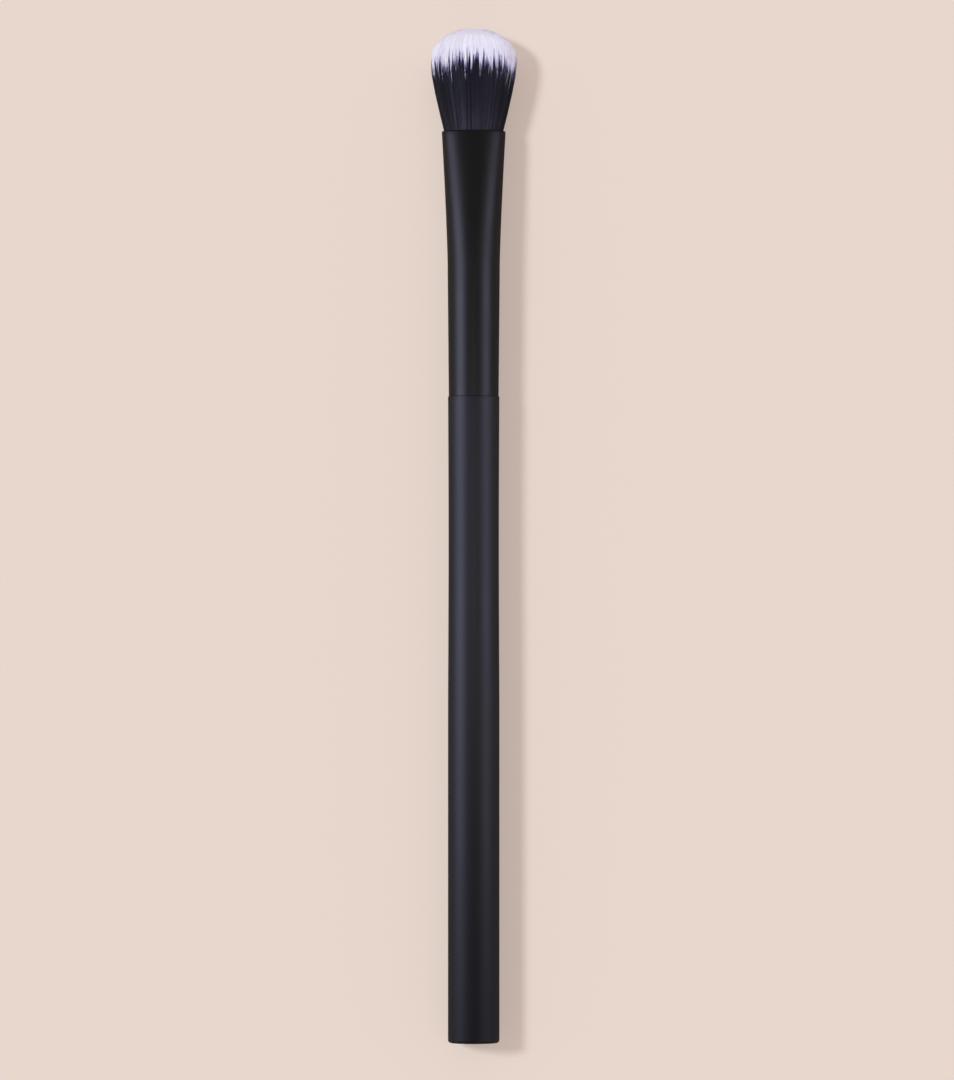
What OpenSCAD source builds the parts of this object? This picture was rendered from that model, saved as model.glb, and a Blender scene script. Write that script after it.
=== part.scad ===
// Eyeshadow brush: a turned wooden handle, a drawn ferrule flattened at its mouth, and a tuft of
// dip-dyed strands whose roots are bound with thread and set in glue.
// It lies on its handle as it would on a dressing table: +Y runs from the butt to the bristle tips,
// X is across the flat of the tuft, +Z is up, and the origin is under the middle of its length.

/* [Handle] */
// Diameter of the straight round handle
handle_d = 8.35; // [7:0.05:10]
// Length of the handle from its butt to its shoulder
handle_len = 105; // [85:0.5:130]
// Length of the truly straight grip, measured from the butt
grip_len = 55; // [40:1:70]
// How much narrower the handle is at its waist than at the grip
waist_drop = 0.17; // [0.1:0.01:0.4]
// Rounding of the edge round the butt
butt_round = 0.5; // [0.2:0.05:1]
// Rounding of the shoulder's edge
shoulder_round = 0.15; // [0.05:0.05:0.4]
// Step in radius from the handle's shoulder down to the ferrule
shoulder_step = 0.12; // [0.05:0.01:0.3]

/* [Tenon] */
// Length of the tenon that the ferrule slides over
tenon_len = 12; // [9:0.5:16]
// Chamfer on the tenon's end
tenon_chamfer = 0.6; // [0.2:0.1:1]
// Number of glue grooves turned in the tenon
groove_count = 3; // [2:1:4]
// Width of each glue groove
groove_w = 0.8; // [0.5:0.1:1.2]
// Depth of each glue groove
groove_depth = 0.3; // [0.1:0.05:0.5]

/* [Ferrule] */
// Length of the ferrule from the shoulder to its mouth
ferrule_len = 43.2; // [36:0.1:50]
// Length of the part that stays round
round_len = 21.5; // [16:0.5:25]
// Growth in diameter over the round part, from the drawing taper
round_growth = 0.39; // [0:0.01:0.8]
// Outer width of the flattened mouth
mouth_w = 10.44; // [8.7:0.02:12.4]
// Outer thickness of the flattened mouth
mouth_t = 6.2; // [5.2:0.1:7.2]
// Wall thickness of the drawn tube
wall = 0.35; // [0.3:0.05:0.5]
// Rounding of the lip round the mouth
lip_round = 0.25; // [0.1:0.05:0.3]
// Thickness of the glue film between the tenon and the ferrule
glue_film = 0.1; // [0.05:0.01:0.2]

/* [Tuft] */
// Free length of the tuft from the mouth to its tip
tuft_len = 16.8; // [14:0.1:20]
// Height of the tuft's belly, where it is widest, above the mouth
belly_height = 10.4; // [9.4:0.1:11.2]
// Height above the mouth of the outermost tips, where the dome starts
rim_height = 12.6; // [11.6:0.1:13.6]
// Width of the tuft at its belly
belly_w = 14.1; // [11.8:0.1:16.4]
// Thickness of the tuft at its belly
belly_t = 8.4; // [7:0.1:10]
// Length of the undyed pale tip of each strand
tip_len = 3.3; // [2.4:0.1:4]
// Spacing of the strands at the mouth
strand_pitch = 0.345; // [0.335:0.005:0.4]
// Thickness of a strand at its root
strand_d = 0.24; // [0.16:0.01:0.26]
// Thickness of a strand at the belly, where it is thickest
strand_belly_d = 0.37; // [0.26:0.01:0.38]

/* [Knot] */
// Depth below the mouth to which the glue has risen between the strands
glue_depth = 0.8; // [0.6:0.1:1.4]
// Depth below the mouth of the roots' cut ends
root_depth = 12; // [10.5:0.1:14]
// Depth below the mouth of the middle of the thread binding
bind_depth = 9.2; // [8:0.1:10]
// Thickness of the binding thread
thread_d = 0.4; // [0.3:0.05:0.5]
// Turns of thread round the knot
thread_turns = 5; // [3:1:6]
// Advance of the thread from one turn to the next
thread_pitch = 0.46; // [0.42:0.02:0.6]
// Thickness of the plug of glue poured in under the roots
plug_len = 3.5; // [2:0.1:5]

/* [Hidden] */
wood_black = [0.13, 0.13, 0.15];
metal_black = [0.12, 0.12, 0.14];
glue_amber = [0.78, 0.66, 0.42];
thread_white = [0.86, 0.84, 0.78];
strand_black = [0.10, 0.10, 0.13];
strand_pale = [0.88, 0.86, 0.93];

// Room left between pieces that only touch through glue
fit_gap = 0.04;
// Overrun of cuts and of roots sunk into what holds them
overrun = 0.25;
// Ledge that keeps the flattened shell clear of the turned one where they join
ledge = 0.02;
// Sides of the flattened sections, and of a strand
sides = 48;
strand_sides = 3;
thread_sides = 8;
// Exponents of the superellipses: 2 is an ellipse, and more is flatter in the face
round_exponent = 2;
mouth_exponent = 2.2;
belly_exponent = 2.3;
// How the ferrule widens and thins over its flattened part, where the pressing keeps its girth
flare_power = 1.3;
thin_power = 1.5;
// How the waist of the handle leans towards the shoulder
waist_power = 1.1;
// Shares of the flattened part at which its sections are drawn
section_shares = [0.08, 0.18, 0.3, 0.42, 0.54, 0.64, 0.74, 0.86];
// Angles of the quarter round at the mouth's lip
lip_angles = [0, 30, 60, 90];
// Turn of the strands' grid, so that its rows line up with no face of the tuft
grid_turn = 23;
// Share of the clear space between two strands over which one may wander
wander_share = 0.25;
// Share of the way out beyond which a strand belongs to the outermost layer
edge_share = 0.94;
// Share of the belly's height at which each strand is at its thickest
thick_share = 0.77;
// How much the tuft bulges on its way to the belly, from 0, straight, to 1, round
bulge_share = 0.3;
// Share by which the tuft is gathered in at its tip, and how much its faces share in the dome
gather_share = 0.14;
face_dome_share = 0.75;
// Shares of the tip length by which a dye line and a tip may move
dye_share = 0.25;
tip_share = 0.12;
// Seeds of the strands' random numbers
wander_seed = 11;
length_seed = 23;

handle_r = handle_d / 2;
base_r = handle_r - shoulder_step;
knee_r = base_r + round_growth / 2;
bore_r = base_r - wall;
tenon_r = bore_r - glue_film;
brush_len = handle_len + ferrule_len + tuft_len;
rest_height = max(handle_r, knee_r, belly_t / 2);
groove_pitch = (tenon_len - tenon_chamfer) / (groove_count + 1);
bind_len = thread_turns * thread_pitch;
root_r = strand_d / 2;
belly_r = strand_belly_d / 2;
thick_height = belly_height * thick_share;

function lerp(a, b, share) = a + (b - a) * share;
function clamp01(x) = min(1, max(0, x));

// Distance from the centre of a unit superellipse to its edge, in the direction of an angle
function edge_reach(angle, exponent) =
    pow(pow(abs(cos(angle)), exponent) + pow(abs(sin(angle)), exponent), -1 / exponent);

// One closed ring of a superellipse at height z
function ring(half_w, half_t, exponent, z) =
    [for (i = [0 : sides - 1])
        let(angle = 360 * i / sides, reach = edge_reach(angle, exponent))
        [half_w * reach * cos(angle), half_t * reach * sin(angle), z]];

// Outer section of the ferrule at height s above its base: half width, half thickness, exponent
function flat_share(s) = clamp01((s - round_len) / (ferrule_len - round_len));
function round_r(s) = lerp(base_r, knee_r, clamp01(s / round_len));
function half_width(s) =
    s <= round_len ? round_r(s) : lerp(knee_r, mouth_w / 2, pow(flat_share(s), flare_power));
function half_thickness(s) =
    s <= round_len ? round_r(s) : lerp(knee_r, mouth_t / 2, pow(flat_share(s), thin_power));
function squareness(s) = lerp(round_exponent, mouth_exponent, flat_share(s));

// A ring of the ferrule's section at height s, drawn in by an inset
function ferrule_ring(s, inset, z) =
    ring(half_width(s) - inset, half_thickness(s) - inset, squareness(s), z);

// A solid lofted through rings that all have the same number of points
module loft(rings) {
    n = len(rings[0]);
    last = (len(rings) - 1) * n;
    walls = [
        for (k = [0 : len(rings) - 2], i = [0 : n - 1])
            let(j = (i + 1) % n, a = k * n + i, b = k * n + j)
            each [[a, a + n, b], [b, a + n, b + n]]
    ];
    caps = [for (i = [1 : n - 2]) each [[0, i, i + 1], [last, last + i + 1, last + i]]];
    polyhedron(points = [for (r = rings) each r], faces = concat(walls, caps));
}

// Lays a piece drawn upright, butt down, on its side along +Y
module lay_down() {
    translate([0, -brush_len / 2, rest_height]) rotate([-90, 0, 0]) children();
}

// Lifts a piece drawn from the ferrule's base onto the handle's shoulder
module on_shoulder() {
    lay_down() translate([0, 0, handle_len]) children();
}

// Radius of the handle above its straight grip: a shallow waist that is full again at the shoulder
function waisted_r(share) = handle_r - waist_drop / 2 * sin(180 * pow(share, waist_power));

function groove_outline(k) =
    let(z = handle_len + tenon_len - tenon_chamfer - k * groove_pitch)
    [
        [tenon_r, z - groove_w / 2],
        [tenon_r - groove_depth, z - groove_w / 4],
        [tenon_r - groove_depth, z + groove_w / 4],
        [tenon_r, z + groove_w / 2]
    ];

// The tenon's outline from the shoulder to its end, with its grooves
function tenon_outline() = concat(
    [[tenon_r, handle_len]],
    [for (k = [groove_count : -1 : 1]) each groove_outline(k)],
    [
        [tenon_r, handle_len + tenon_len - tenon_chamfer],
        [tenon_r - tenon_chamfer, handle_len + tenon_len]
    ]
);

function arc(centre, r, from, to, steps) =
    [for (i = [0 : steps]) let(a = lerp(from, to, i / steps)) centre + r * [cos(a), sin(a)]];

module handle() {
    waist_steps = 16;
    round_steps = 6;
    waist_len = handle_len - shoulder_round - grip_len;
    outline = concat(
        [[0, 0]],
        arc([handle_r - butt_round, butt_round], butt_round, -90, 0, round_steps),
        [for (i = [0 : waist_steps - 1])
            [waisted_r(i / waist_steps), grip_len + waist_len * i / waist_steps]],
        arc([handle_r - shoulder_round, handle_len - shoulder_round], shoulder_round, 0, 90, round_steps),
        tenon_outline(),
        [[0, handle_len + tenon_len]]
    );
    color(wood_black) lay_down() rotate_extrude($fn = 96) polygon(outline);
}

// Glue between the tenon and the bore: it fills the grooves and ends at the tenon's chamfer
module ferrule_glue() {
    top = tenon_len - tenon_chamfer;
    tenon_side = [for (p = tenon_outline()) if (p[1] <= handle_len + top) p];
    bore_side = [[round_r(top) - wall, handle_len + top], [bore_r, handle_len]];
    color(glue_amber) lay_down() rotate_extrude($fn = 96) polygon(concat(tenon_side, bore_side));
}

// Rings of the flattened part, drawn in by an inset, from just inside the turned part to the mouth
function flat_rings(inset) = concat(
    [ferrule_ring(round_len, inset + ledge, round_len - overrun)],
    [for (share = section_shares)
        let(s = lerp(round_len, ferrule_len, share)) ferrule_ring(s, inset, s)]
);

module ferrule() {
    lip_base = ferrule_len - lip_round;
    lip_rings = [for (a = lip_angles)
        ferrule_ring(lip_base, lip_round * (1 - cos(a)), lip_base + lip_round * sin(a))];
    mouth_rings = [
        ferrule_ring(lip_base, wall, lip_base),
        ferrule_ring(lip_base, wall, ferrule_len + overrun)
    ];
    color(metal_black) on_shoulder() difference() {
        union() {
            cylinder(r1 = base_r, r2 = knee_r, h = round_len, $fn = 96);
            loft(concat(flat_rings(0), lip_rings));
        }
        cylinder(r1 = bore_r, r2 = knee_r - wall, h = round_len, $fn = 96);
        loft(concat(flat_rings(wall), mouth_rings));
    }
}

// Cured glue poured in from behind, which closes the ferrule under the roots
module root_glue() {
    top = ferrule_len - root_depth - fit_gap;
    levels = [top - plug_len, top - plug_len * 2 / 3, top - plug_len / 3, top];
    color(glue_amber) on_shoulder()
        loft([for (s = levels) ferrule_ring(s, wall + fit_gap, s)]);
}

// Insets of the knot from the ferrule's outside: where it fills the bore, and under the thread
knot_inset = wall + fit_gap;
waist_inset = knot_inset + thread_d + fit_gap;

// Glued roots of all the strands, drawn in at the thread
module knot() {
    waist_low = bind_depth + bind_len / 2 + thread_d;
    waist_high = bind_depth - bind_len / 2 - thread_d;
    levels = [
        [root_depth, knot_inset + fit_gap],
        [waist_low + thread_d, knot_inset],
        [waist_low, waist_inset],
        [waist_high, waist_inset],
        [waist_high - thread_d, knot_inset],
        [(glue_depth + waist_high) / 2, knot_inset],
        [glue_depth, knot_inset]
    ];
    loft([for (v = levels) let(s = ferrule_len - v[0]) ferrule_ring(s, v[1], s)]);
}

// Path of the thread: a tight helix laid on the knot's waist
thread_r = thread_d / 2;
thread_steps = 24;
function thread_centre(k) =
    let(
        angle = 360 * k / thread_steps,
        s = ferrule_len - bind_depth - bind_len / 2 + thread_pitch * k / thread_steps,
        inset = waist_inset - thread_r - fit_gap / 2,
        reach = edge_reach(angle, squareness(s))
    )
    [
        (half_width(s) - inset) * reach * cos(angle),
        (half_thickness(s) - inset) * reach * sin(angle),
        s
    ];

// Section of the thread, square to its path
function thread_ring(k) =
    let(
        centre = thread_centre(k),
        along = thread_centre(k + 0.5) - thread_centre(k - 0.5),
        out = cross(along, [0, 0, 1]) / norm(cross(along, [0, 0, 1])),
        up = cross(out, along) / norm(along)
    )
    [for (i = [0 : thread_sides - 1])
        let(a = -360 * i / thread_sides) centre + thread_r * (out * cos(a) + up * sin(a))];

// Thread wound round the knot in one unbroken helix
module knot_thread() {
    color(thread_white) on_shoulder()
        loft([for (k = [0 : thread_turns * thread_steps]) thread_ring(k)]);
}

// Half sizes of the bundle at height t above the mouth, to the middle of its outermost strands
mouth_clear = wall + fit_gap + root_r + (belly_r - root_r) * overrun;
bundle_mouth_w = mouth_w / 2 - mouth_clear;
bundle_mouth_t = mouth_t / 2 - mouth_clear;
function opened(t) =
    let(share = clamp01(t / belly_height)) lerp(share, sin(90 * share), bulge_share);
function gathered(t) =
    1 - gather_share * pow(clamp01((t - belly_height) / (tuft_len - belly_height)), 2);
function bundle_w(t) = lerp(bundle_mouth_w, belly_w / 2 - belly_r, opened(t)) * gathered(t);
function bundle_t(t) = lerp(bundle_mouth_t, belly_t / 2 - belly_r, opened(t)) * gathered(t);
function bundle_exponent(t) = lerp(mouth_exponent, belly_exponent, opened(t));

// Centres of the strands at the mouth: a turned triangular grid, clipped to the bundle's edge
row_pitch = strand_pitch * sqrt(3) / 2;
rows = ceil(bundle_mouth_w / row_pitch);
grid = [
    for (row = [-rows : rows], column = [-rows : rows])
        let(x = (column + (row % 2 == 0 ? 0 : 0.5)) * strand_pitch, y = row * row_pitch)
        [x * cos(grid_turn) - y * sin(grid_turn), x * sin(grid_turn) + y * cos(grid_turn)]
];

// A strand's place as [angle, share of the way to the bundle's edge], the same all along it
function placed(p) =
    let(
        x = p[0] / bundle_mouth_w,
        y = p[1] / bundle_mouth_t,
        angle = atan2(y, x),
        share = norm([x, y]) / edge_reach(angle, mouth_exponent)
    )
    [angle, share > edge_share ? 1 : share];

starts = [
    for (p = grid)
        if (norm([p[0] / bundle_mouth_w, p[1] / bundle_mouth_t])
            <= edge_reach(atan2(p[1] / bundle_mouth_t, p[0] / bundle_mouth_w), mouth_exponent)) p
];
strands = len(starts);
wander = (strand_pitch - strand_d) * wander_share;
wander_x = rands(-wander, wander, strands, wander_seed);
wander_y = rands(-wander, wander, strands, wander_seed + 1);
turn = rands(0, 360 / strand_sides, strands, wander_seed + 2);
dye_shift = rands(-dye_share, dye_share, strands, length_seed);
tip_shift = rands(0, tip_share, strands, length_seed + 1);
echo(strands = strands);

// The middle strand is the longest and stands straight
function is_middle(i) = norm(starts[i]) == 0;
function strand_place(i) =
    is_middle(i) ? [0, 0] : placed(starts[i] + [wander_x[i], wander_y[i]]);

function bundle_point(place, t) =
    let(reach = place[1] * edge_reach(place[0], bundle_exponent(t)))
    [bundle_w(t) * reach * cos(place[0]), bundle_t(t) * reach * sin(place[0]), ferrule_len + t];

// Heights above the mouth at which strand i ends, and at which its pale tip starts
function tip_height(i) =
    let(
        place = strand_place(i),
        reach = place[1] * edge_reach(place[0], belly_exponent),
        u = reach * cos(place[0]),
        v = reach * sin(place[0]),
        dome = sqrt(max(0, 1 - u * u - face_dome_share * v * v))
    )
    lerp(rim_height, tuft_len, dome) - (is_middle(i) ? 0 : tip_shift[i] * tip_len);
function dye_height(i) = max(thick_height + strand_d, tip_height(i) - tip_len * (1 + dye_shift[i]));

function triangle_at(centre, r, i) =
    [for (k = [0 : strand_sides - 1])
        let(a = turn[i] + 360 * k / strand_sides) centre + r * [cos(a), sin(a), 0]];

function dye_ring(i) = triangle_at(bundle_point(strand_place(i), dye_height(i)), belly_r, i);

// The dyed shank runs straight through the mouth to where it is thickest, and on to its dye line
function shank_points(i) =
    let(
        place = strand_place(i),
        thick = bundle_point(place, thick_height),
        mouth = bundle_point(place, 0),
        root = mouth + (mouth - thick) * (glue_depth + overrun) / thick_height
    )
    concat(triangle_at(root, root_r, i), triangle_at(thick, belly_r, i), dye_ring(i));

function tip_points(i) = concat(dye_ring(i), [bundle_point(strand_place(i), tip_height(i))]);

// Faces of one three-sided shank and of one pointed tip, numbered from their first point
shank_faces = concat(
    [[0, 1, 2], [8, 7, 6]],
    [for (k = [0, 3], j = [0 : 2])
        let(a = k + j, b = k + (j + 1) % 3)
        each [[a, a + 3, b], [b, a + 3, b + 3]]]
);
tip_faces = [[0, 1, 2], [0, 3, 1], [1, 3, 2], [2, 3, 0]];

function numbered(faces, step) =
    [for (i = [0 : strands - 1], f = faces) [for (v = f) v + i * step]];

// All strands, fused to the glued knot at their roots: dyed shanks and pale tips
module bristles() {
    on_shoulder() {
        color(strand_black) {
            knot();
            polyhedron(
                points = [for (i = [0 : strands - 1]) each shank_points(i)],
                faces = numbered(shank_faces, 9)
            );
        }
        color(strand_pale)
            polyhedron(
                points = [for (i = [0 : strands - 1]) each tip_points(i)],
                faces = numbered(tip_faces, 4)
            );
    }
}

handle();
ferrule();
ferrule_glue();
root_glue();
knot_thread();
bristles();
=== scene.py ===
import math

import bmesh
import bpy
from mathutils import Matrix, Vector


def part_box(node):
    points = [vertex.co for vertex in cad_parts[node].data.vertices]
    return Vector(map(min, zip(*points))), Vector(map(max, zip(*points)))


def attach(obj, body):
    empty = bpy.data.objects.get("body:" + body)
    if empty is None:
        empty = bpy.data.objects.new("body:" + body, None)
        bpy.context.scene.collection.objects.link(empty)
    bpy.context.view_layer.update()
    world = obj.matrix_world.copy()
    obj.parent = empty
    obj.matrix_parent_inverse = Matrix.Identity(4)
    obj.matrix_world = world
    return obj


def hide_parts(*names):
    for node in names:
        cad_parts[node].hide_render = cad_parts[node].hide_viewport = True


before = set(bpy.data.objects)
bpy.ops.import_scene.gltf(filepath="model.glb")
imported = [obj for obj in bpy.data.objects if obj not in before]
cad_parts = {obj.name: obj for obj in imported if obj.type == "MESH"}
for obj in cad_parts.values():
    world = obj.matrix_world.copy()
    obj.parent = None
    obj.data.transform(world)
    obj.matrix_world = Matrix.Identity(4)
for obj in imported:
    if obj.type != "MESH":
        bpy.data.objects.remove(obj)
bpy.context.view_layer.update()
mm = 0.001

# Where the brush lies, read from the frame: butt towards -Y, tips towards +Y, flat of the tuft up
handleLow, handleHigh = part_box("handle")
ferruleLow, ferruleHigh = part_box("ferrule")
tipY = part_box("bristles")[1].y
buttY, shoulderY, mouthY = handleLow.y, ferruleLow.y, ferruleHigh.y
tenonEndY = handleHigh.y
handleRadius = (handleHigh.x - handleLow.x) / 2
axisHeight = (handleLow.z + handleHigh.z) / 2
ferruleLength = mouthY - shoulderY
tuftLength = tipY - mouthY
print(f"handle radius {handleRadius / mm:.3f} mm, ferrule {ferruleLength / mm:.1f} mm")
print(f"tuft {tuftLength / mm:.1f} mm")


# Node trees

class Wire:  # one output of a node tree, so that maths on it reads as plain expressions
    def __init__(self, tree, output=None):
        self.tree = tree
        self.output = output

    def node(self, kind, settings=None, sockets=None, out=0):
        made = self.tree.nodes.new(kind)
        for name, value in (settings or {}).items():
            if name == "stops":
                self.setStops(made.color_ramp, value)
            else:
                setattr(made, name, value)
        for key, value in (sockets or {}).items():
            target = self.find(made.inputs, key)
            if isinstance(value, Wire):
                self.tree.links.new(value.output, target)
            else:
                target.default_value = value
        return Wire(self.tree, self.find(made.outputs, out))

    def find(self, sockets, key):
        if isinstance(key, int):
            return sockets[key]
        return [s for s in sockets if s.enabled and s.name == key][0]

    def setStops(self, ramp, stops):
        while len(ramp.elements) < len(stops):
            ramp.elements.new(0.5)
        for element, (place, colour) in zip(ramp.elements, stops):
            element.position = place
            element.color = (*colour, 1)

    def math(self, operation, *others):
        values = dict(enumerate([self, *others]))
        return self.node("ShaderNodeMath", {"operation": operation}, values)

    def turned(self, operation, first):
        return self.node("ShaderNodeMath", {"operation": operation}, {0: first, 1: self})

    def __add__(self, other):
        return self.math("ADD", other)

    def __sub__(self, other):
        return self.math("SUBTRACT", other)

    def __mul__(self, other):
        return self.math("MULTIPLY", other)

    def __truediv__(self, other):
        return self.math("DIVIDE", other)

    def __pow__(self, other):
        return self.math("POWER", other)

    def __rsub__(self, other):
        return self.turned("SUBTRACT", other)

    def __rtruediv__(self, other):
        return self.turned("DIVIDE", other)

    def __abs__(self):
        return self.math("ABSOLUTE")

    __radd__ = __add__
    __rmul__ = __mul__

    def least(self, other):
        return self.math("MINIMUM", other)

    def most(self, other):
        return self.math("MAXIMUM", other)

    def eased(self, start, end):  # 0 before start, 1 after end, smooth between
        sockets = {"Value": self, "From Min": start, "From Max": end}
        return self.node("ShaderNodeMapRange", {"interpolation_type": "SMOOTHSTEP"}, sockets)

    def blend(self, low, high):  # from low to high as this goes from 0 to 1
        return low + (high - low) * self

    def part(self, axis):
        return self.node("ShaderNodeSeparateXYZ", None, {0: self}, axis)

    def also(self, name):  # another output of the same node
        return Wire(self.tree, self.find(self.output.node.outputs, name))

    def tint(self, low, high):  # a colour from low to high as this goes from 0 to 1
        sockets = {"Factor": self, "A": asColour(low), "B": asColour(high)}
        return self.node("ShaderNodeMix", {"data_type": "RGBA"}, sockets, "Result")

    def bump(self, strength, distance):
        sockets = {"Strength": strength, "Distance": distance, "Height": self}
        return self.node("ShaderNodeBump", None, sockets)


def asColour(value):
    return value if isinstance(value, Wire) else (*value, 1)


def finish(name, fixed, varying):  # fixed: the shader's own values, varying: wires what changes
    material = bpy.data.materials.new(name)
    material.use_nodes = True
    shader = material.node_tree.nodes["Principled BSDF"]
    for key, value in fixed.items():
        shader.inputs[key].default_value = value
    for key, wire in varying(Wire(material.node_tree)).items():
        material.node_tree.links.new(wire.output, shader.inputs[key])
    return material


def objectPlace(start):
    return start.node("ShaderNodeTexCoord", None, None, "Object")


def noiseOf(place, size, detail=2.0, stretch=None):  # noise whose blobs are about size metres across
    if stretch:
        place = place.node("ShaderNodeMapping", None, {"Vector": place, "Scale": stretch})
    sockets = {"Vector": place, "Scale": 1 / size, "Detail": detail, "Roughness": 0.55}
    return place.node("ShaderNodeTexNoise", {"noise_dimensions": "3D"}, sockets, 0)


def cellsOf(place, size):  # distance to the nearest of points about size metres apart
    sockets = {"Vector": place, "Scale": 1 / size}
    return place.node("ShaderNodeTexVoronoi", {"voronoi_dimensions": "3D"}, sockets, "Distance")


# Mesh helpers

def meshFrom(name, vertices, faces, sharpAngle=35):
    mesh = bpy.data.meshes.new(name)
    mesh.from_pydata(vertices, [], faces)
    mesh.validate()
    build = bmesh.new()
    build.from_mesh(mesh)
    bmesh.ops.recalc_face_normals(build, faces=build.faces)
    build.to_mesh(mesh)
    build.free()
    mesh.shade_smooth()
    mesh.set_sharp_from_angle(angle=math.radians(sharpAngle))
    made = bpy.data.objects.new(name, mesh)
    bpy.context.scene.collection.objects.link(made)
    return made


def loft(name, rings, closed):  # closed joins the last ring to the first, otherwise both ends are capped
    count = len(rings[0])
    vertices = [point for ring in rings for point in ring]
    spans = len(rings) if closed else len(rings) - 1
    faces = []
    for k in range(spans):
        low, high = k * count, (k + 1) % len(rings) * count
        for i in range(count):
            j = (i + 1) % count
            faces.append((low + i, low + j, high + j, high + i))
    if not closed:
        for start, ring in ((0, rings[0]), ((len(rings) - 1) * count, rings[-1])):
            middle = len(vertices)
            vertices.append(sum(ring, Vector()) / count)
            faces += [(start + i, start + (i + 1) % count, middle) for i in range(count)]
    return meshFrom(name, vertices, faces)


def roundRing(radius, y, sides):
    turns = [2 * math.pi * i / sides for i in range(sides)]
    return [Vector((radius * math.cos(turn), y, axisHeight + radius * math.sin(turn))) for turn in turns]


def quarter(centre, radius, start, end, steps):  # points of an arc as (radius from the axis, y)
    points = []
    for i in range(steps + 1):
        angle = math.radians(start + (end - start) * i / steps)
        points.append((centre[0] + radius * math.cos(angle), centre[1] + radius * math.sin(angle)))
    return points


def dress(piece, material, slotName, *nodes):
    piece.data.materials.clear()
    piece.data.materials.append(material)
    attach(piece, "root")
    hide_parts(*nodes)


# Handle

handleSizes = {
    "sides": 144,
    "gripLength": 55 * mm,
    "waistDrop": 0.17 * mm,
    "waistPower": 1.1,
    "waistSteps": 26,
    "buttRound": 0.5 * mm,
    "buttSteps": 10,
    "shoulderRound": 0.15 * mm,
    "shoulderSteps": 8,
    "shoulderStep": 0.12 * mm,
    "tenonChamfer": 0.6 * mm,
    "grooves": 3,
    "grooveWidth": 0.8 * mm,
    "grooveDepth": 0.3 * mm,
}
ferruleSizes = {
    "sides": 160,
    "roundLength": 21.5 * mm,
    "roundGrowth": 0.39 * mm,
    "mouthThickness": 6.2 * mm,
    "wall": 0.35 * mm,
    "lipRound": 0.25 * mm,
    "lipSteps": 6,
    "boreEdge": 0.03 * mm,
    "glueFilm": 0.1 * mm,
    "mouthExponent": 2.2,
    "flarePower": 1.3,
    "thinPower": 1.5,
    "ringPitch": 0.9 * mm,
}
ferruleBase = handleRadius - handleSizes["shoulderStep"]
tenonRadius = ferruleBase - ferruleSizes["wall"] - ferruleSizes["glueFilm"]


def handleOutline():
    size = handleSizes
    butt, shoulder = size["buttRound"], size["shoulderRound"]
    outline = quarter((handleRadius - butt, buttY + butt), butt, -90, 0, size["buttSteps"])
    gripEnd = buttY + size["gripLength"]
    edgeY = shoulderY - shoulder
    for i in range(size["waistSteps"]):
        share = i / size["waistSteps"]
        drop = size["waistDrop"] / 2 * math.sin(math.pi * share ** size["waistPower"])
        outline.append((handleRadius - drop, gripEnd + (edgeY - gripEnd) * share))
    outline += quarter((handleRadius - shoulder, edgeY), shoulder, 0, 90, size["shoulderSteps"])
    outline.append((tenonRadius, shoulderY))
    chamferY = tenonEndY - size["tenonChamfer"]
    pitch = (chamferY - shoulderY) / (size["grooves"] + 1)
    for k in range(1, size["grooves"] + 1):
        middle, half = shoulderY + k * pitch, size["grooveWidth"] / 2
        floorRadius = tenonRadius - size["grooveDepth"]
        outline += [(tenonRadius, middle - half), (floorRadius, middle - half / 2)]
        outline += [(floorRadius, middle + half / 2), (tenonRadius, middle + half)]
    outline += [(tenonRadius, chamferY), (tenonRadius - size["tenonChamfer"], tenonEndY)]
    return outline


lacquerLook = {
    "colour": (0.0028, 0.0026, 0.0036),
    "worn": (0.014, 0.0135, 0.015),
    "wear": 0.5,
    "wearSize": 0.7 * mm,
    "wearPatches": (0.45, 0.7),
    "wearFrom": 0.2 * mm,
    "wearTo": 1.6 * mm,
    "wearPolish": 0.06,
    "gloss": 0.5,
    "roughness": 0.53,
    "handledSize": 9 * mm,
    "handledStretch": (1, 0.35, 1),
    "handledChange": 0.12,
    "peelSize": 0.55 * mm,
    "peelDepth": 0.02 * mm,
    "peelStrength": 0.12,
}


def lacquer(start):
    look = lacquerLook
    place = objectPlace(start)
    along = place.part(1)
    peel = noiseOf(place, look["peelSize"])
    handled = noiseOf(place, look["handledSize"], 3.0, look["handledStretch"])
    edge = 1 - along.eased(buttY + look["wearFrom"], buttY + look["wearTo"])
    rub = edge * noiseOf(place, look["wearSize"]).eased(*look["wearPatches"])
    matte = look["roughness"] + (handled - 0.5) * look["handledChange"]
    return {
        "Base Color": (rub * look["wear"]).tint(look["colour"], look["worn"]),
        "Roughness": matte - rub * look["wearPolish"],
        "Normal": peel.bump(look["peelStrength"], look["peelDepth"]),
    }


lacquerFinish = finish("matteBlackLacquer", {"Specular IOR Level": lacquerLook["gloss"]}, lacquer)
handleRings = [roundRing(radius, y, handleSizes["sides"]) for radius, y in handleOutline()]
handle = loft("handle_lacquered", handleRings, False)
dress(handle, lacquerFinish, "handle_lacquer", "handle")
print(f"handle: {len(handle.data.polygons)} faces")


# Ferrule: a turned tube, pressed to a flat-faced oval at its mouth

kneeRadius = ferruleBase + ferruleSizes["roundGrowth"] / 2


def mixed(low, high, share):
    return low + (high - low) * share


def edgeReach(angle, exponent):  # from the centre of a unit superellipse to its edge
    return (abs(math.cos(angle)) ** exponent + abs(math.sin(angle)) ** exponent) ** (-1 / exponent)


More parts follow.
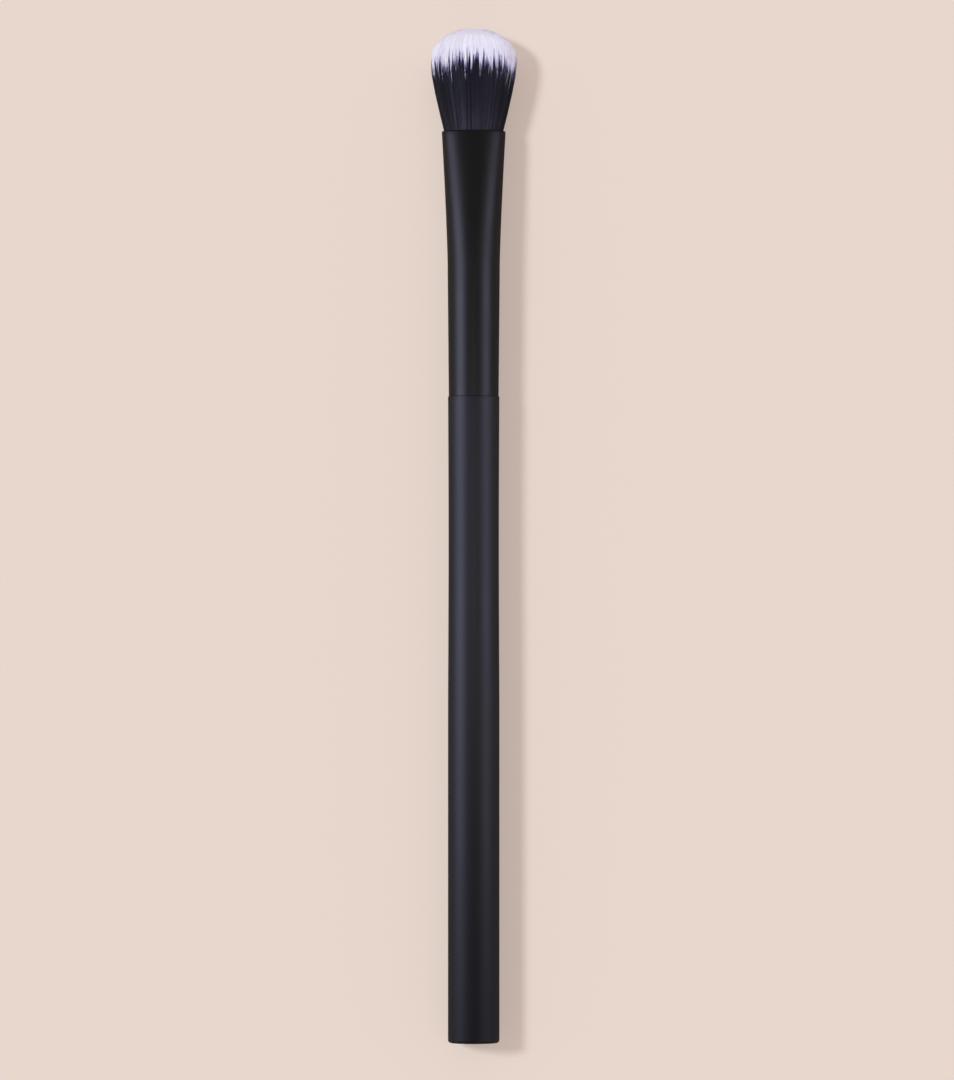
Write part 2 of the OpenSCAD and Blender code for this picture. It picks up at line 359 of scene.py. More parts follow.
def ferruleSection(s):  # half width, half thickness and exponent at s metres above the shoulder
    size = ferruleSizes
    flat = min(1, max(0, (s - size["roundLength"]) / (ferruleLength - size["roundLength"])))
    turned = mixed(ferruleBase, kneeRadius, min(1, s / size["roundLength"]))
    halfWidth = mixed(turned, ferruleHigh.x, flat ** size["flarePower"])
    halfThickness = mixed(turned, size["mouthThickness"] / 2, flat ** size["thinPower"])
    return halfWidth, halfThickness, mixed(2, size["mouthExponent"], flat)


def ferruleRing(s, inset, sides, sectionAt=None):
    halfWidth, halfThickness, exponent = ferruleSection(s if sectionAt is None else sectionAt)
    ring = []
    for i in range(sides):
        angle = 2 * math.pi * i / sides
        reach = edgeReach(angle, exponent)
        x = (halfWidth - inset) * reach * math.cos(angle)
        up = (halfThickness - inset) * reach * math.sin(angle)
        ring.append(Vector((x, shoulderY + s, axisHeight + up)))
    return ring


def ferruleRings():
    size = ferruleSizes
    lipBase = ferruleLength - size["lipRound"]
    steps = round(lipBase / size["ringPitch"])
    heights = [lipBase * i / steps for i in range(steps + 1)]
    rings = [ferruleRing(s, 0, size["sides"]) for s in heights]
    for step in range(1, size["lipSteps"] + 1):
        turn = math.pi / 2 * step / size["lipSteps"]
        inset, rise = size["lipRound"] * (1 - math.cos(turn)), size["lipRound"] * math.sin(turn)
        rings.append(ferruleRing(lipBase + rise, inset, size["sides"], lipBase))
    edge = size["boreEdge"]
    rings.append(ferruleRing(ferruleLength, size["wall"] - edge, size["sides"], lipBase))
    rings.append(ferruleRing(ferruleLength - edge, size["wall"], size["sides"], lipBase))
    rings += [ferruleRing(s, size["wall"], size["sides"]) for s in reversed(heights[:-1])]
    return rings


coatingLook = {
    "colour": (0.0066, 0.0057, 0.0046),
    "bare": (0.22, 0.22, 0.23),
    "wear": 0.35,
    "wearMetal": 0.5,
    "wearSize": 0.5 * mm,
    "wearPatches": (0.62, 0.8),
    "wearWidth": 0.08 * mm,
    "gloss": 0.32,
    "roughness": 0.43,
    "handledSize": 7 * mm,
    "handledChange": 0.1,
    "drawLine": 0.12 * mm,
    "drawStretch": (0.04, 1, 0.04),
    "drawShare": 0.6,
    "grain": 0.25 * mm,
    "grainDepth": 0.012 * mm,
    "grainStrength": 0.1,
}


def coating(start):
    look = coatingLook
    place = objectPlace(start)
    along = place.part(1)
    lines = noiseOf(place, look["drawLine"], 1.0, look["drawStretch"])
    grain = noiseOf(place, look["grain"])
    handled = noiseOf(place, look["handledSize"], 3.0)
    lip = along.eased(mouthY - look["wearWidth"], mouthY)
    rubbed = lip * noiseOf(place, look["wearSize"]).eased(*look["wearPatches"])
    marks = lines * look["drawShare"] + grain * (1 - look["drawShare"])
    return {
        "Base Color": (rubbed * look["wear"]).tint(look["colour"], look["bare"]),
        "Metallic": rubbed * look["wearMetal"],
        "Roughness": look["roughness"] + (handled - 0.5) * look["handledChange"],
        "Normal": marks.bump(look["grainStrength"], look["grainDepth"]),
    }


coatingFinish = finish("satinBlackCoating", {"Specular IOR Level": coatingLook["gloss"]}, coating)
ferrule = loft("ferrule_drawn_tube", ferruleRings(), True)
dress(ferrule, coatingFinish, "ferrule_coating", "ferrule")
print(f"ferrule: {len(ferrule.data.polygons)} faces")


# Tuft: tapered fibres that fan out of the mouth, grown by one node tree

tuftSizes = {
    "bundles": 7,
    "fibresInBundle": 4400,
    "keptShare": 0.87,  # of the random points, those inside the mouth
    "points": 8,
    "crowding": 1.9,  # of a fibre's points towards its tip
    "rootDepth": 1.0 * mm,
    "bellyHeight": 10.4 * mm,
    "rimHeight": 12.6 * mm,
    "bellyWidth": 14.1 * mm,
    "bellyThickness": 8.4 * mm,
    "bellyExponent": 2.3,
    "bulge": 0.3,  # 0 opens in straight lines, 1 in curves
    "gather": 0.14,  # drawn in again above the belly
    "faceDome": 0.75,  # below 1, the faces dome less than the sides
    "edgeCrowding": 0.75,
    "edgePush": 1.05,
    "overhang": 0.45,  # how far the outer fibres follow the dome
    "bend": 0.4,  # how softly they turn over its rim
    "tipLength": 3.3 * mm,
    "tipShare": 0.12,  # uneven ends, as a share of the tips
    "fibreThickness": 0.11 * mm,
    "girthLeast": 0.75,
    "girthMost": 1.2,
    "rootGirth": 0.62,
    "swollen": 0.6,  # share of the length at which it is thickest
    "taperLength": 1.0 * mm,
    "taperEnd": 0.5,
    "innerGirth": 0.4,  # how much thicker in the middle
    "facing": 20,  # degrees that a side turns either way
    "clumpSize": 0.3 * mm,
    "clumpDisorder": 0.9,
    "clumpPull": 0.1,
    "stray": 0.14 * mm,
    "curl": 0.5 * mm,  # of the middle's tips
    "wander": 0.08,  # sideways, between mouth and belly
    "seed": 5,
}
# The pale tips: longer by inner in the middle, shorter by edge at the sides, and ragged from there
dyeSizes = {
    "shortest": 2.0 * mm,
    "longest": 8.0 * mm,
    "edge": 1.1 * mm,
    "inner": 3.2 * mm,
    "flame": 2.2 * mm,  # points of dye in the clumps' middles
    "flameWidth": 1.3,
    "flameLift": 0.1,
    "clumpShift": 1.6 * mm,
    "fibreShift": 0.9 * mm,
    "straggler": 2.8 * mm,
    "levels": 64,  # steps of tip length on the map
    "shades": 3,
}
fibreMap = "OFBake"
mapTop, mapSpan, mapLift = 0.99, 0.97, 0.006  # on the map: where fibres end, their length and width
fibreLength = tuftLength + tuftSizes["rootDepth"]


def groupWith(name, inputs):  # an empty geometry tree, and its named inputs as wires
    tree = bpy.data.node_groups.new(name, "GeometryNodeTree")
    tree.interface.new_socket(name="Geometry", in_out="OUTPUT", socket_type="NodeSocketGeometry")
    for label, kind in inputs.items():
        tree.interface.new_socket(name=label, in_out="INPUT", socket_type=kind)
    source = tree.nodes.new("NodeGroupInput")
    return tree, {label: Wire(tree, source.outputs[label]) for label in inputs}


def stored(shape, name, kind, value, domain="POINT"):
    settings = {"data_type": kind, "domain": domain}
    sockets = {"Geometry": shape, "Name": name, "Value": value}
    return shape.node("GeometryNodeStoreNamedAttribute", settings, sockets)


def named(start, name, kind="FLOAT"):
    settings = {"data_type": kind}
    return start.node("GeometryNodeInputNamedAttribute", settings, {"Name": name}, "Attribute")


def drawn(start, seed, low, high, offset):  # one random number for each point
    index = start.node("GeometryNodeInputIndex")
    sockets = {"Min": low, "Max": high, "ID": index, "Seed": seed * 20 + offset}
    return start.node("FunctionNodeRandomValue", {"data_type": "FLOAT"}, sockets, "Value")


def superNorm(x, y, exponent):
    return (abs(x) ** exponent + abs(y) ** exponent) ** (1 / exponent)


def vectorOf(start, x, y, z):
    return start.node("ShaderNodeCombineXYZ", None, {0: x, 1: y, 2: z})


fibreInputs = {
    "Count": "NodeSocketInt",
    "Seed": "NodeSocketInt",
    "Points": "NodeSocketInt",
    "Mouth Y": "NodeSocketFloat",
    "Axis Height": "NodeSocketFloat",
    "Mouth Half Width": "NodeSocketFloat",
    "Mouth Half Thickness": "NodeSocketFloat",
    "Belly Half Width": "NodeSocketFloat",
    "Belly Half Thickness": "NodeSocketFloat",
    "Belly Height": "NodeSocketFloat",
    "Rim Height": "NodeSocketFloat",
    "Tip Height": "NodeSocketFloat",
    "Root Depth": "NodeSocketFloat",
    "Fibre Radius": "NodeSocketFloat",
    "Clump Size": "NodeSocketFloat",
    "Clump Pull": "NodeSocketFloat",
    "Stray": "NodeSocketFloat",
    "Curl": "NodeSocketFloat",
    "Material": "NodeSocketMaterial",
}


def fibreTree():
    size, dyes = tuftSizes, dyeSizes
    tree, given = groupWith("fibre tuft", fibreInputs)
    start = Wire(tree)
    seed = given["Seed"]

    # Fibres start evenly spread over the mouth, a little denser towards its edge
    shape = start.node("GeometryNodePoints", None, {"Count": given["Count"]})
    x, y = drawn(start, seed, -1.0, 1.0, 1), drawn(start, seed, -1.0, 1.0, 2)
    shape = stored(shape, "spread", "FLOAT_VECTOR", vectorOf(start, x, y, 0.0))
    spread = named(start, "spread", "FLOAT_VECTOR")
    share = superNorm(spread.part(0), spread.part(1), ferruleSizes["mouthExponent"])
    sockets = {"Geometry": shape, "Selection": share.math("GREATER_THAN", 1.0)}
    shape = start.node("GeometryNodeDeleteGeometry", {"domain": "POINT"}, sockets)
    outward = (share ** size["edgeCrowding"] * size["edgePush"]).least(1.0) / share
    x, y = spread.part(0) * outward, spread.part(1) * outward
    shape = stored(shape, "place", "FLOAT_VECTOR", vectorOf(start, x, y, 0.0))

    # Each belongs to a clump, which pulls its tips together and has its dye crept up in the middle
    place = named(start, "place", "FLOAT_VECTOR")
    flatX = place.part(0) * given["Belly Half Width"] / given["Clump Size"]
    flatY = place.part(1) * given["Belly Half Thickness"] / given["Clump Size"]
    flat = vectorOf(start, flatX, flatY, 0.0)
    sockets = {"Vector": flat, "Scale": 1.0, "Randomness": size["clumpDisorder"]}
    centre = start.node("ShaderNodeTexVoronoi", {"voronoi_dimensions": "2D"}, sockets, "Position")
    apart = centre.also("Distance")
    middleX = centre.part(0) * given["Clump Size"] / given["Belly Half Width"]
    middleY = centre.part(1) * given["Clump Size"] / given["Belly Half Thickness"]
    shape = stored(shape, "clump", "FLOAT_VECTOR", vectorOf(start, middleX, middleY, 0.0))
    settings = {"noise_dimensions": "2D"}
    chance = start.node("ShaderNodeTexWhiteNoise", settings, {"Vector": centre}, "Color")
    ofClump = chance.node("FunctionNodeSeparateColor", {"mode": "RGB"}, {0: chance}, "Red")
    shift = (dyes["flameLift"] - (1 - apart * dyes["flameWidth"]).most(0.0) ** 2) * dyes["flame"]
    shift = shift + (ofClump - 0.5) * dyes["clumpShift"]
    shift = shift + drawn(start, seed, -0.5, 0.5, 3) * dyes["fibreShift"]
    shift = shift + (drawn(start, seed, -1.0, 1.0, 8) ** 7) * dyes["straggler"]
    shape = stored(shape, "shift", "FLOAT", shift)
    # a lightness level for each clump and fibre: partly its own tone, partly painted sheen streaks
    shade = ofClump.also("Green") * 0.6 + drawn(start, seed, 0.0, 0.4, 9)
    shape = stored(shape, "shade", "FLOAT", shade)
    shape = stored(shape, "girth", "FLOAT", drawn(start, seed, size["girthLeast"], size["girthMost"], 4))
    turn = drawn(start, seed, -1.0, 1.0, 10) * math.radians(size["facing"])
    shape = stored(shape, "turn", "FLOAT", turn)
    wander = drawn(start, seed, -1.0, 1.0, 11) ** 3 * size["wander"]
    shape = stored(shape, "wander", "FLOAT", wander)
    stray = vectorOf(start, drawn(start, seed, -1.0, 1.0, 5), drawn(start, seed, -1.0, 1.0, 6), 0.0)
    shape = stored(shape, "stray", "FLOAT_VECTOR", stray)

    # How far up each ends: it meets the dome over the rim and lies along it for the rest of its length
    x, y = place.part(0), place.part(1)
    share = superNorm(x, y, ferruleSizes["mouthExponent"])
    slant = (x * x + y * y) ** 0.5
    reach = share / superNorm(x / slant, y / slant, size["bellyExponent"])
    u, v = reach * x / slant, reach * y / slant
    spanned = (u * u + v * v * size["faceDome"]) ** 0.5
    dome = (1 - spanned * spanned).most(0.0) ** 0.5
    over = dome.blend(given["Rim Height"], given["Tip Height"]) - given["Rim Height"]
    past = (1 - dome) * (given["Tip Height"] - given["Rim Height"]) * size["overhang"]
    past = past - drawn(start, seed, 0.0, size["tipShare"], 7) * size["tipLength"]
    shape = stored(shape, "spanned", "FLOAT", spanned)
    shape = stored(shape, "height", "FLOAT", given["Rim Height"] + over + past)
    pale = size["tipLength"] + past + (1 - share) * dyes["inner"] - x ** 4 * dyes["edge"]
    pale = pale + named(start, "shift")
    level = (pale - dyes["shortest"]) * (dyes["levels"] / (dyes["longest"] - dyes["shortest"]))
    level = level.math("FLOOR").most(0.0).least(dyes["levels"] - 1.0)
    shade = (named(start, "shade") * dyes["shades"]).math("FLOOR").least(dyes["shades"] - 1.0)
    shape = stored(shape, "strip", "FLOAT", level * dyes["shades"] + shade)

    # One straight fibre on each, then bent to the tuft's outline
    line = start.node("GeometryNodeCurvePrimitiveLine", None, {"Start": (0, 0, 0), "End": (0, 0, mm)})
    line = start.node("GeometryNodeResampleCurve", None, {"Curve": line, "Count": given["Points"]})
    shape = start.node("GeometryNodeInstanceOnPoints", None, {"Points": shape, "Instance": line})
    shape = start.node("GeometryNodeRealizeInstances", None, {"Geometry": shape})
    along = start.node("GeometryNodeSplineParameter", None, None, "Factor")
    shape = stored(shape, "climb", "FLOAT", 1 - (1 - along) ** size["crowding"])
    climb, height = named(start, "climb"), named(start, "height")
    t = climb.blend(-1 * given["Root Depth"], height)
    opening = (t / given["Belly Height"]).least(1.0)
    opened = opening * (1 - size["bulge"]) + (opening * (math.pi / 2)).math("SINE") * size["bulge"]
    past = ((t - given["Belly Height"]) / (given["Tip Height"] - given["Belly Height"])).most(0.0)
    over = ((t - given["Rim Height"]) / (given["Tip Height"] - given["Rim Height"])).most(0.0).least(1.0)
    underDome = (1 - over * over) ** 0.5 / named(start, "spanned")
    underDome = underDome.math("SMOOTH_MIN", 1.0, over * size["bend"])
    gathered = (1 - past * past * size["gather"]) * underDome
    halfWidth = opened.blend(given["Mouth Half Width"], given["Belly Half Width"]) * gathered
    halfThickness = opened.blend(given["Mouth Half Thickness"], given["Belly Half Thickness"]) * gathered
    exponent = opened.blend(ferruleSizes["mouthExponent"], size["bellyExponent"])
    rise = (t / given["Tip Height"]).most(0.0)
    pull = given["Clump Pull"] * rise * rise
    place, clump = named(start, "place", "FLOAT_VECTOR"), named(start, "clump", "FLOAT_VECTOR")
    astray = (opening.most(0.0) * math.pi).math("SINE") * named(start, "wander")
    x = pull.blend(place.part(0), clump.part(0)) - astray * place.part(1)
    y = pull.blend(place.part(1), clump.part(1)) + astray * place.part(0)
    share = superNorm(x, y, ferruleSizes["mouthExponent"]).least(1.0)
    slant = (x * x + y * y) ** 0.5
    reach = share / superNorm(x / slant, y / slant, exponent)
    stray = named(start, "stray", "FLOAT_VECTOR")
    drift = (given["Stray"] * rise ** 1.5 + given["Curl"] * past ** 4) * (1.1 - share)
    across = halfWidth * reach * x / slant + stray.part(0) * drift
    up = halfThickness * reach * y / slant + stray.part(1) * drift
    bent = vectorOf(start, across, given["Mouth Y"] + t, given["Axis Height"] + up)
    shape = start.node("GeometryNodeSetPosition", None, {"Geometry": shape, "Position": bent})

    # Three-sided fibres with a side turned outwards, which swell from the root and taper to a fine tip
    inwardX, inwardZ = -1 * across / given["Belly Half Width"], -1 * up / given["Belly Half Thickness"]
    sockets = {"Curve": shape, "Normal": vectorOf(start, inwardX, 0.0, inwardZ)}
    shape = start.node("GeometryNodeSetCurveNormal", {"mode": "FREE"}, sockets)
    shape = start.node("GeometryNodeSetCurveTilt", None, {"Curve": shape, "Tilt": named(start, "turn")})
    fromTip = (1 - climb) * (height + given["Root Depth"])
    shape = stored(shape, "fromTip", "FLOAT", fromTip)
    swell = climb.eased(0.0, size["swollen"]).blend(size["rootGirth"], 1.0)
    taper = fromTip.eased(0.0, size["taperLength"]).blend(size["taperEnd"], 1.0)
    filled = 1 + (1 - named(start, "spanned")).most(0.0) * size["innerGirth"]
    thickness = swell * taper * named(start, "girth") * filled
    sockets = {"Resolution": 3, "Radius": 1.0}
    sides = start.node("GeometryNodeCurvePrimitiveCircle", {"mode": "RADIUS"}, sockets)
    corner = start.node("GeometryNodeInputIndex")
    sides = stored(sides, "around", "FLOAT", corner * corner / 5)
    sides = stored(sides, "lift", "FLOAT", corner.math("COMPARE", 1, 0.5))
    sockets = {
        "Curve": shape,
        "Profile Curve": sides,
        "Scale": given["Fibre Radius"] * thickness,
        "Fill Caps": True,
    }
    shape = start.node("GeometryNodeCurveToMesh", None, sockets)
    shape = start.node("GeometryNodeSetShadeSmooth", None, {"Geometry": shape})
    outer = abs(named(start, "around") - 0.5).math("COMPARE", 0.3, 0.01)
    sockets = {"Geometry": shape, "Selection": outer, "Shade Smooth": False}
    shape = start.node("GeometryNodeSetShadeSmooth", {"domain": "EDGE"}, sockets)

    # On the map: across for the length of the pale tip and the shade level (a lightness that is partly
    # painted sheen), along for the way from the tip
    u = (named(start, "strip") + 0.1 + named(start, "around")) / (dyes["levels"] * dyes["shades"])
    v = mapTop - named(start, "fromTip") / fibreLength * mapSpan + named(start, "lift") * mapLift
    shape = stored(shape, fibreMap, "FLOAT2", vectorOf(start, u, v, 0.0), "CORNER")
    shape = start.node("GeometryNodeRealizeInstances", None, {"Geometry": shape})
    sockets = {"Geometry": shape, "Material": given["Material"]}
    shape = start.node("GeometryNodeSetMaterial", None, sockets)
    output = tree.nodes.new("NodeGroupOutput")
    tree.links.new(shape.output, output.inputs[0])
    return tree


fibreLook = {
    "pale": (0.815, 0.776, 0.905),
    "violet": (0.395, 0.355, 0.63),
    "deep": (0.078, 0.066, 0.225),
    "black": (0.0034, 0.0031, 0.0092),
    # the colour the fibres lighten to near the mouth: partly their own dye, partly painted sheen
    "root": (0.038, 0.036, 0.052),
    "bleed": 1.7 * mm,
    "paleEnd": 0.2,
    "violetAt": 0.46,
    "deepAt": 0.74,
    "rootSheenFade": 10.7 * mm,
    "toneAndSheen": 0.14,
    # how far every fibre lifts towards the root colour by its level: tone and painted sheen streaks
    "roughness": 0.45,
    "gloss": 0.12,
    "sheen": 0.1,
}


def fibreDye(start):
    look, dyes = fibreLook, dyeSizes
    place = start.node("ShaderNodeUVMap", {"uv_map": fibreMap})
    u, v = place.part(0), place.part(1)
    fromTip = (mapTop - v) * (fibreLength / mapSpan)
    line = u.blend(dyes["shortest"], dyes["longest"])
    depth = ((fromTip - line) / look["bleed"] + 0.5).most(0.0).least(1.0)
    stops = [(0.0, look["pale"]), (look["paleEnd"], look["pale"]), (look["violetAt"], look["violet"])]
    stops += [(look["deepAt"], look["deep"]), (1.0, look["black"])]
    dyed = depth.node("ShaderNodeValToRGB", {"stops": stops}, {0: depth}, "Color")
    # each fibre's lightness level, partly its own tone and partly painted sheen streaks
    shade = ((u * dyes["levels"]).math("FRACT") * dyes["shades"]).math("FLOOR") / (dyes["shades"] - 1)
    # below the dye line the fibres lighten steeply towards the mouth, partly their own dye and partly
    # painted sheen
    fade = ((fromTip - line) / look["rootSheenFade"]).most(0.0).least(1.0) ** 4
    fade = fade.blend(look["toneAndSheen"], 1.0) * shade
    return {"Base Color": fade.tint(dyed, look["root"])}


fibreFinish = finish("dipDyedFibre", {
    "Roughness": fibreLook["roughness"],
    "Specular IOR Level": fibreLook["gloss"],
    "Sheen Weight": fibreLook["sheen"],
}, fibreDye)


def growBundle(tree, number):
    size = tuftSizes
    clear = ferruleSizes["wall"] + size["fibreThickness"] / 2
    settings = {
        "Count": round(size["fibresInBundle"] / size["keptShare"]),
        "Seed": size["seed"] + number,
        "Points": size["points"],
        "Mouth Y": mouthY,
        "Axis Height": axisHeight,
        "Mouth Half Width": ferruleHigh.x - clear,
        "Mouth Half Thickness": ferruleSizes["mouthThickness"] / 2 - clear,
        "Belly Half Width": (size["bellyWidth"] - size["fibreThickness"]) / 2,
        "Belly Half Thickness": (size["bellyThickness"] - size["fibreThickness"]) / 2,
        "Belly Height": size["bellyHeight"],
        "Rim Height": size["rimHeight"],
        "Tip Height": tuftLength,
        "Root Depth": size["rootDepth"],
        "Fibre Radius": size["fibreThickness"] / 2,
        "Clump Size": size["clumpSize"],
        "Clump Pull": size["clumpPull"],
        "Stray": size["stray"],
        "Curl": size["curl"],
        "Material": fibreFinish,
    }
    name = f"fibre_bundle_{number + 1}"
    bundle = bpy.data.objects.new(name, bpy.data.meshes.new(name))
    bpy.context.scene.collection.objects.link(bundle)
    modifier = bundle.modifiers.new("fibres", "NODES")
    modifier.node_group = tree
    for socket in tree.interface.items_tree:
        if socket.in_out == "INPUT":
            modifier[socket.identifier] = settings[socket.name]
    seen = bundle.evaluated_get(bpy.context.evaluated_depsgraph_get())
    bundle.data = bpy.data.meshes.new_from_object(seen)
    bundle.modifiers.clear()
    bundle.data.name = name
    return bundle


fibres = fibreTree()
tuft = bpy.data.collections.new("tuft")
for number in range(tuftSizes["bundles"]):
    bundle = growBundle(fibres, number)
    tuft.objects.link(bundle)
    dress(bundle, fibreFinish, "bristle_fibre", "bristles")
    print(f"{bundle.name}: {len(bundle.data.polygons)} faces")


# Root knot: the glued slice that the fibres are set in, drawn in where the thread is wound

knotSizes = {
    "sides": 96,
    "glueDepth": 0.8 * mm,
    "rootDepth": 12 * mm,
    "bindDepth": 9.2 * mm,
    "bindLength": 2.3 * mm,
    "threadThickness": 0.4 * mm,
    "gap": 0.04 * mm,
}


def knotRings():  # from the roots up to the glued face under the mouth, as (depth, inset)
    size = knotSizes
    filled = ferruleSizes["wall"] + size["gap"]
    bound = filled + size["threadThickness"] + size["gap"]
    slope, halfBind = size["threadThickness"], size["bindLength"] / 2
    low, high = size["bindDepth"] + halfBind + slope, size["bindDepth"] - halfBind - slope
    levels = [
        (size["rootDepth"], filled + size["gap"]),
        (low + slope, filled),
        (low, bound),
        (high, bound),
        (high - slope, filled),
        ((size["glueDepth"] + high) / 2, filled),
        (size["glueDepth"], filled),
    ]
    return [ferruleRing(ferruleLength - depth, inset, size["sides"]) for depth, inset in levels]


rootLook = {
    "dyed": (0.009, 0.0085, 0.012),
    "glued": (0.03, 0.022, 0.014),
    "gloss": 0.5,
    "roughness": 0.3,
    "streak": 0.12 * mm,
    "streakStretch": (1, 0.03, 1),
    "streakChange": 0.2,
    "fibreEnd": 0.16 * mm,
    "endDepth": 0.03 * mm,
    "endStrength": 0.3,
}


def gluedRoots(start):
    look = rootLook
    place = objectPlace(start)
    streaks = noiseOf(place, look["streak"], 2.0, look["streakStretch"])
    cells = cellsOf(place, look["fibreEnd"])
    return {
        "Base Color": streaks.eased(0.35, 0.65).tint(look["dyed"], look["glued"]),
        "Roughness": look["roughness"] + streaks * look["streakChange"],
        "Normal": cells.bump(look["endStrength"], look["endDepth"]),
    }


rootFinish = finish("gluedRoots", {"Specular IOR Level": rootLook["gloss"]}, gluedRoots)
knot = loft("root_knot", knotRings(), False)
dress(knot, rootFinish, "bristle_fibre", "bristles")
print("root knot set in the ferrule")


# What lies hidden inside stays as the frame has it and gets its finish

glueLook = {
    "clear": (0.62, 0.42, 0.15),
    "thick": (0.42, 0.25, 0.07),
    "ior": 1.52,
    "roughness": 0.16,
    "cloud": 1.8 * mm,
    "cloudChange": 0.16,
    "bubble": 0.5 * mm,
    "bubbleDepth": 0.04 * mm,
    "bubbleStrength": 0.4,
}
threadLook = {
    "light": (0.76, 0.72, 0.63),
    # dark: the colour down in the grooves between the plies, painted shade
    "dark": (0.5, 0.46, 0.38),
    "sheen": 0.2,
    "roughness": 0.7,
    "twist": 0.35 * mm,
    "twistAngle": 38,
    "fuzz": 0.08 * mm,
    "fuzzChange": 0.2,
    "fuzzShare": 0.3,
    "plyDepth": 0.04 * mm,
    "plyStrength": 0.5,
}


def curedGlue(start):
    look = glueLook
    place = objectPlace(start)
    cloud = noiseOf(place, look["cloud"], 3.0)
    bubbles = 1 - cellsOf(place, look["bubble"]).eased(0.08, 0.2)
    return {
        "Base Color": cloud.eased(0.35, 0.7).tint(look["clear"], look["thick"]),
        "Roughness": look["roughness"] + cloud * look["cloudChange"],
        "Normal": bubbles.bump(look["bubbleStrength"], look["bubbleDepth"]),
    }


def twistedThread(start):
    look = threadLook
    place = objectPlace(start)
    sockets = {"Vector": place, "Rotation": (0.0, 0.0, math.radians(look["twistAngle"]))}
    turned = place.node("ShaderNodeMapping", None, sockets)
    sockets = {"Vector": turned, "Scale": 0.3 / look["twist"], "Distortion": 0.6, "Detail": 1.0}
    ply = place.node("ShaderNodeTexWave", {"wave_type": "BANDS", "bands_direction": "X"}, sockets, 1)
    fuzz = noiseOf(place, look["fuzz"])
    raised = fuzz * look["fuzzShare"]
    return {
        # the colour follows the bump, darker down in the grooves between the plies: painted shade
        "Base Color": (ply * (1 - look["fuzzShare"]) + raised).tint(look["dark"], look["light"]),
        "Roughness": look["roughness"] + fuzz * look["fuzzChange"],
        "Normal": (ply + raised).bump(look["plyStrength"], look["plyDepth"]),
    }


glueFinish = finish("curedAmberGlue", {"IOR": glueLook["ior"]}, curedGlue)
threadFinish = finish("twistedThread", {"Sheen Weight": threadLook["sheen"]}, twistedThread)
hiddenFinishes = {"ferrule_glue": glueFinish, "root_glue": glueFinish, "knot_thread": threadFinish}
for node, material in hiddenFinishes.items():
    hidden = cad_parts[node]
    hidden.data.materials.clear()
    hidden.data.materials.append(material)
print("hidden glue and thread finished")


# Floor, lights and camera

studio = {
    "floor": (0.807, 0.680, 0.610),
    "floorHalf": 3.0,
    "evenShare": 0.487,
    "floorInGloss": 0.35,
    "ambient": (0.502, 0.43, 0.407),
    "zenith": (0.05, 0.05, 0.05),
    "horizon": (0.24, 0.24, 0.33),
    "horizonTop": 0.15,
    "zenithFrom": 0.75,
}
# A high sun from the left, and a low one from the right that only reaches the fibres
suns = {
    "key": {
        "from": (-0.743, 0.25, 1.0),
        "spread": 10.5,
        "strength": 2.375,
        "colour": (0.849, 0.962, 1.0),
    },
    "side": {
        "from": (1.0, 0.1, 0.18),
        "spread": 50,
        "strength": 1.9,
        "colour": (0.84, 0.96, 1.0),
    },
}
# Strips that only show in the gloss, from either side and from above
strips = {
    "left": {
        "place": (-0.212, 0.025, 0.113),
        "width": 0.15,
        "length": 0.14,
        "power": 0.465,
        "colour": (0.69, 0.71, 1.0),
    },
    "right": {
        "place": (0.199, 0.025, 0.134),
        "width": 0.13,
        "length": 0.14,
        "power": 0.27,
        "colour": (0.78, 0.765, 1.0),
    },
    "top": {
        "place": (0.0, 0.002, 0.13),
        "width": 0.02,
        "length": 0.03,
        "power": 0.018,
        "colour": (0.95, 0.93, 1.0),
    },
}
shot = {
    "height": 1.05,
    "foot": -25 * mm,
    "seenHeight": 175.6 * mm,
    "aim": (0.535 * mm, -0.86 * mm),
    "film": 36.0,
}


def lightPath(start, kind):  # 1 for this kind of ray, otherwise 0
    return start.node("ShaderNodeLightPath", None, None, kind)


def makeFloor():  # the camera sees a share of its colour evenly, so that its shadows stay light
    half = studio["floorHalf"]
    corners = [(-half, -half, 0), (half, -half, 0), (half, half, 0), (-half, half, 0)]
    floor = meshFrom("floor", [Vector(c) for c in corners], [(0, 1, 2, 3)])
    paper = bpy.data.materials.new("palePaper")
    paper.use_nodes = True
    paper.node_tree.nodes.clear()
    start = Wire(paper.node_tree)
    dim = [studio["floorInGloss"] * c for c in studio["floor"]]
    colour = lightPath(start, "Is Glossy Ray").tint(studio["floor"], dim)
    matte = start.node("ShaderNodeBsdfDiffuse", None, {"Color": colour})
    even = start.node("ShaderNodeEmission", None, {"Color": asColour(studio["floor"]), "Strength": 1.0})
    share = lightPath(start, "Is Camera Ray") * studio["evenShare"]
    surface = start.node("ShaderNodeMixShader", None, {0: share, 1: matte, 2: even})
    output = paper.node_tree.nodes.new("ShaderNodeOutputMaterial")
    paper.node_tree.links.new(surface.output, output.inputs["Surface"])
    floor.data.materials.append(paper)


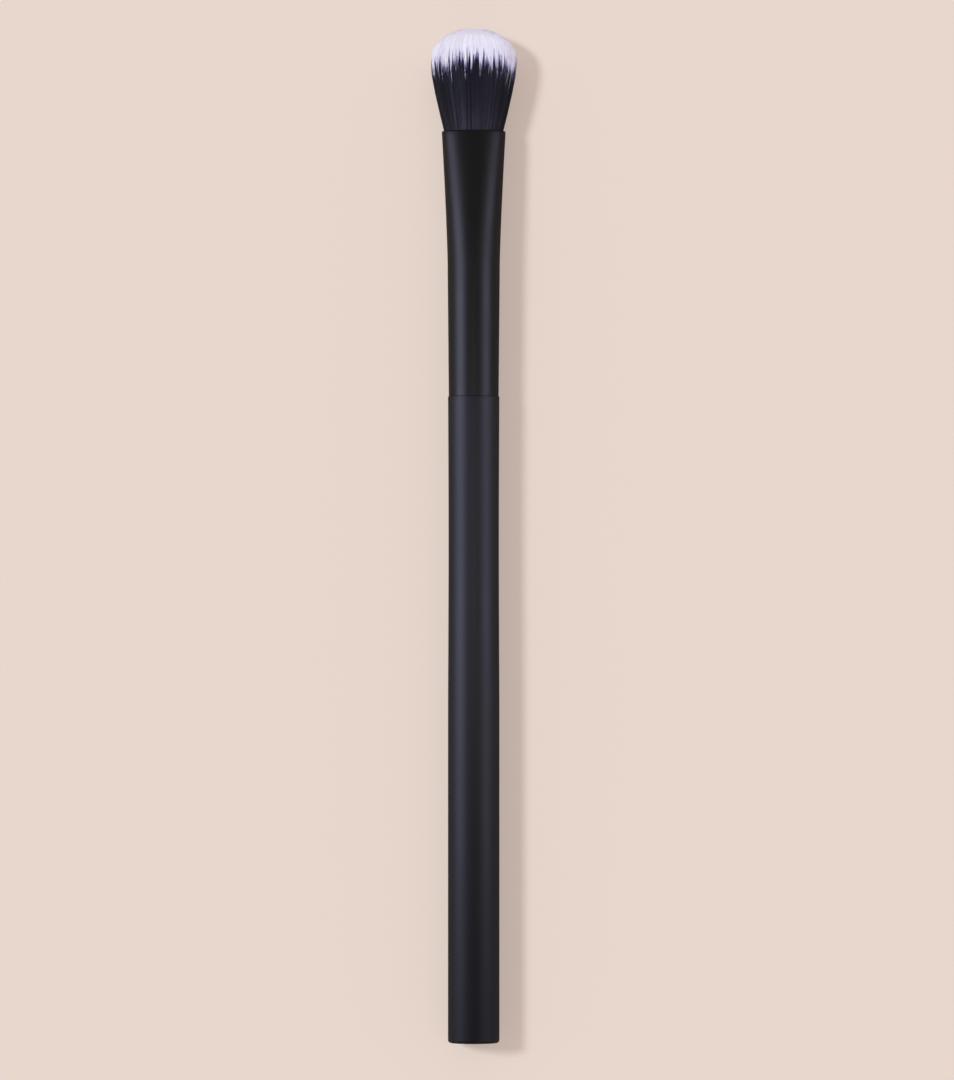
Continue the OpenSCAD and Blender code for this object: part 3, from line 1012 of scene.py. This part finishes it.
def makeWorld():
    world = bpy.data.worlds.new("studio")
    bpy.context.scene.world = world
    world.use_nodes = True
    start = Wire(world.node_tree)
    up = start.node("ShaderNodeTexCoord", None, None, "Generated").part(2)
    high = up.eased(studio["horizonTop"], studio["zenithFrom"])
    reflected = high.tint(studio["horizon"], studio["zenith"])
    colour = lightPath(start, "Is Glossy Ray").tint(studio["ambient"], reflected)
    colour = lightPath(start, "Is Camera Ray").tint(colour, studio["floor"])
    background = world.node_tree.nodes["Background"]
    world.node_tree.links.new(colour.output, background.inputs["Color"])
    background.inputs["Strength"].default_value = 1.0


def lampAt(name, light, place, turn):
    lamp = bpy.data.objects.new(name, light)
    lamp.location = place
    lamp.rotation_mode = "QUATERNION"
    lamp.rotation_quaternion = turn
    bpy.context.scene.collection.objects.link(lamp)
    return lamp


def makeSun(name):
    sun = suns[name]
    light = bpy.data.lights.new(name, "SUN")
    light.energy, light.angle, light.color = sun["strength"], math.radians(sun["spread"]), sun["colour"]
    lamp = lampAt(name, light, (0, 0, 1), Vector(sun["from"]).to_track_quat("Z", "Y"))
    lamp.visible_glossy = False
    return lamp


def makeStrip(name):  # its length lies along the brush, and it faces the brush's axis
    strip = strips[name]
    light = bpy.data.lights.new(name, "AREA")
    light.shape, light.energy, light.color = "RECTANGLE", strip["power"], strip["colour"]
    light.size, light.size_y = strip["length"], strip["width"]
    out = Vector((strip["place"][0], 0, strip["place"][2])).normalized()
    brushwise = Vector((0, 1, 0))
    turn = Matrix((brushwise, out.cross(brushwise), out)).transposed()
    lamp = lampAt(name, light, strip["place"], turn.to_quaternion())
    lamp.visible_diffuse = False
    lamp.visible_camera = False


def makeCamera():
    camera = bpy.data.cameras.new("camera")
    aimX, aimY = shot["aim"]
    lean = math.atan2(aimY - shot["foot"], shot["height"])
    camera.sensor_width = shot["film"]
    camera.lens = shot["film"] * shot["height"] / math.cos(lean) / shot["seenHeight"]
    made = bpy.data.objects.new("camera", camera)
    made.location = (aimX, shot["foot"], axisHeight + shot["height"])
    made.rotation_euler = (lean, 0, 0)
    bpy.context.scene.collection.objects.link(made)
    bpy.context.scene.camera = made


makeFloor()
makeWorld()
makeSun("key")
makeSun("side").light_linking.receiver_collection = tuft
for name in strips:
    makeStrip(name)
makeCamera()
bpy.context.scene.view_settings.view_transform = "Standard"
print("floor, lights and camera set")
